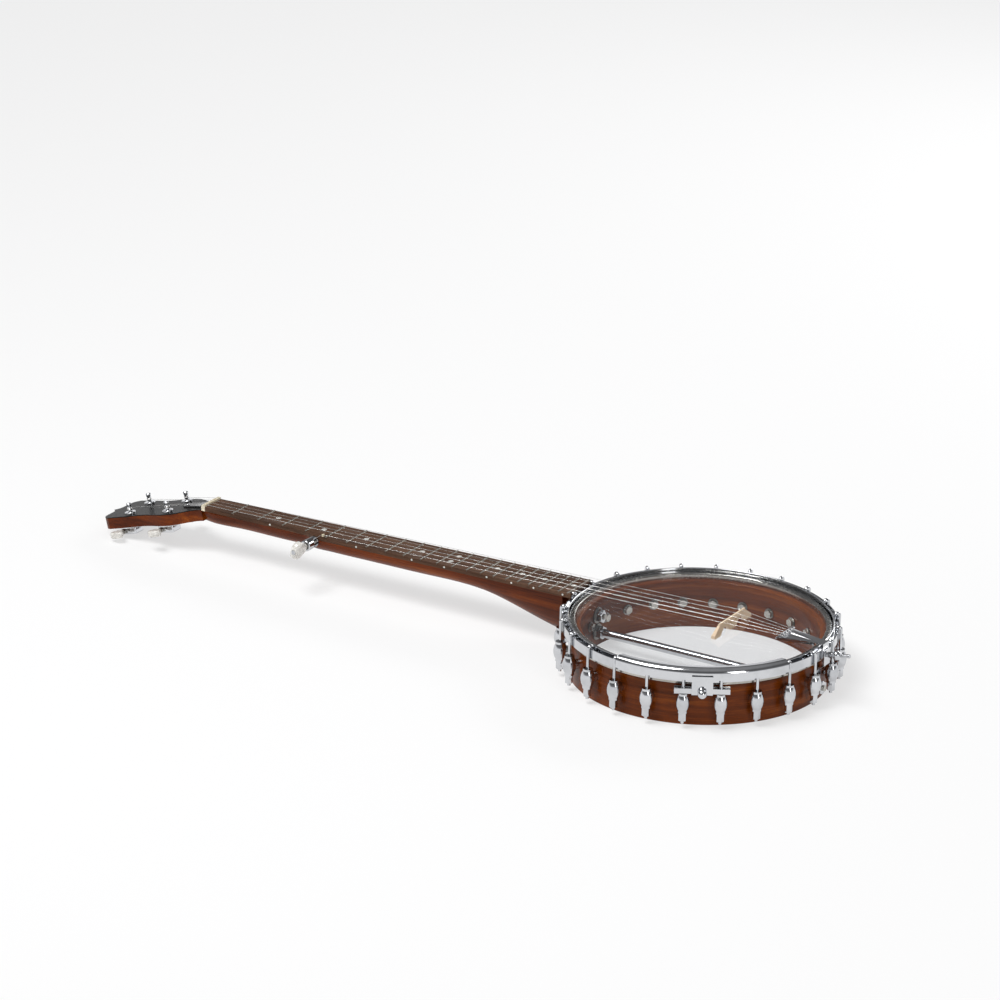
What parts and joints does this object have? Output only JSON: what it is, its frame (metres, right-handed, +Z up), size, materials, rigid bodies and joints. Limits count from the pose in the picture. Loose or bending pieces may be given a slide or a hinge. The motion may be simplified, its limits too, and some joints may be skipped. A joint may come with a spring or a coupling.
{
  "type": "banjo",
  "caption": "Open-back banjo with a clear drum head, wooden rim and neck, hook-tensioned hoop, geared tuners, armrest and adjustable tailpiece.",
  "frame": {"origin": "centre of the underside of the whole instrument's box, lying on its back on the rim's edge", "axes": "+Z up out of the drum head, +X from headstock to tailpiece, -Y the fifth-string side"},
  "size_m": [0.9458, 0.3108, 0.0739],
  "materials": {
    "chrome": "polished chrome plate",
    "nickel_steel": "nickel-plated steel",
    "rim_wood": "gloss brown stain over laminated maple",
    "neck_wood": "gloss red-brown stain",
    "rosewood": "oiled open grain",
    "maple": "bare, smooth",
    "bone": "polished bone",
    "pearl": "pearl",
    "clear_film": "clear polyester film",
    "black_veneer": "gloss black overlay",
    "black_plastic": "gloss black",
    "string_steel": "plain steel wire",
    "button_white": "pearloid white"
  },
  "bodies": {
    "body": {"armrest_clamp": "chrome", "armrest_plate": "chrome", "armrest_post": "chrome", "armrest_screw": "chrome", "bracket_hooks": "chrome", "bracket_nuts": "chrome", "bracket_shoes": "chrome", "bridge": "maple", "bridge_top": "maple", "coordinator_rod": "chrome", "drum_head": "clear_film", "fifth_peg_housing": "chrome", "fifth_string_nut": "bone", "fingerboard": "rosewood", "flesh_hoop": "nickel_steel", "frets": "nickel_steel", "hanger_bolts": "nickel_steel", "headstock_veneer": "black_veneer", "neck": "neck_wood", "nut": "bone", "position_dots": "pearl", "pot_washers": "nickel_steel", "rim_shell": "rim_wood", "rod_nuts": "chrome", "shoe_bolts": "nickel_steel", "strings": "string_steel", "tailpiece_body": "chrome", "tailpiece_bolt": "chrome", "tailpiece_hanger": "chrome", "tailpiece_thumb_nut": "chrome", "tension_hoop": "chrome", "tone_ring": "nickel_steel", "truss_cover_screws": "chrome", "truss_rod": "nickel_steel", "truss_rod_cover": "black_plastic", "tuner_base_plates": "chrome", "tuner_bushings": "chrome", "tuner_housings": "chrome", "tuner_screws": "chrome"},
    "tuner_1_post": {"tuner_post_1": "chrome", "tuner_winding_1": "string_steel"},
    "tuner_1_button": {"tuner_button_1": "button_white", "tuner_worm_1": "nickel_steel"},
    "tuner_2_post": {"tuner_post_2": "chrome", "tuner_winding_2": "string_steel"},
    "tuner_2_button": {"tuner_button_2": "button_white", "tuner_worm_2": "nickel_steel"},
    "tuner_3_post": {"tuner_post_3": "chrome", "tuner_winding_3": "string_steel"},
    "tuner_3_button": {"tuner_button_3": "button_white", "tuner_worm_3": "nickel_steel"},
    "tuner_4_post": {"tuner_post_4": "chrome", "tuner_winding_4": "string_steel"},
    "tuner_4_button": {"tuner_button_4": "button_white", "tuner_worm_4": "nickel_steel"},
    "fifth_peg_spool": {"fifth_peg_post": "nickel_steel", "fifth_peg_winding": "string_steel"},
    "fifth_peg_knob": {"fifth_peg_button": "button_white", "fifth_peg_shaft": "nickel_steel", "fifth_peg_screw": "chrome"}
  },
  "joints": [
    {"name": "tuner_1_post_turn", "type": "hinge", "parent": "body", "child": "tuner_1_post", "pos_m": [-0.38377, 0.019, 0.04229], "axis": [-0.2495, 0, 0.9684], "continuous": true},
    {"name": "tuner_1_button_turn", "type": "hinge", "parent": "body", "child": "tuner_1_button", "pos_m": [-0.3876, 0.019, 0.02209], "axis": [0, 1, 0], "continuous": true},
    {"name": "tuner_2_post_turn", "type": "hinge", "parent": "body", "child": "tuner_2_post", "pos_m": [-0.43606, 0.019, 0.02881], "axis": [-0.2495, 0, 0.9684], "continuous": true},
    {"name": "tuner_2_button_turn", "type": "hinge", "parent": "body", "child": "tuner_2_button", "pos_m": [-0.43989, 0.019, 0.00862], "axis": [0, 1, 0], "continuous": true},
    {"name": "tuner_3_post_turn", "type": "hinge", "parent": "body", "child": "tuner_3_post", "pos_m": [-0.43606, -0.019, 0.02881], "axis": [-0.2495, 0, 0.9684], "continuous": true},
    {"name": "tuner_3_button_turn", "type": "hinge", "parent": "body", "child": "tuner_3_button", "pos_m": [-0.43989, -0.019, 0.00862], "axis": [0, -1, 0], "continuous": true},
    {"name": "tuner_4_post_turn", "type": "hinge", "parent": "body", "child": "tuner_4_post", "pos_m": [-0.38377, -0.019, 0.04229], "axis": [-0.2495, 0, 0.9684], "continuous": true},
    {"name": "tuner_4_button_turn", "type": "hinge", "parent": "body", "child": "tuner_4_button", "pos_m": [-0.3876, -0.019, 0.02209], "axis": [0, -1, 0], "continuous": true},
    {"name": "fifth_peg_knob_turn", "type": "hinge", "parent": "body", "child": "fifth_peg_knob", "pos_m": [-0.1819, -0.02349, 0.05264], "axis": [0, -1, 0], "continuous": true},
    {"name": "fifth_peg_spool_turn", "type": "hinge", "parent": "body", "child": "fifth_peg_spool", "pos_m": [-0.1819, -0.02349, 0.05264], "axis": [0, -1, 0], "continuous": true}
  ],
  "couplings": [
    {"joint": "tuner_1_post_turn", "follows": "tuner_1_button_turn", "ratio": 0.071429},
    {"joint": "tuner_2_post_turn", "follows": "tuner_2_button_turn", "ratio": 0.071429},
    {"joint": "tuner_3_post_turn", "follows": "tuner_3_button_turn", "ratio": 0.071429},
    {"joint": "tuner_4_post_turn", "follows": "tuner_4_button_turn", "ratio": 0.071429},
    {"joint": "fifth_peg_spool_turn", "follows": "fifth_peg_knob_turn", "ratio": 0.25}
  ]
}
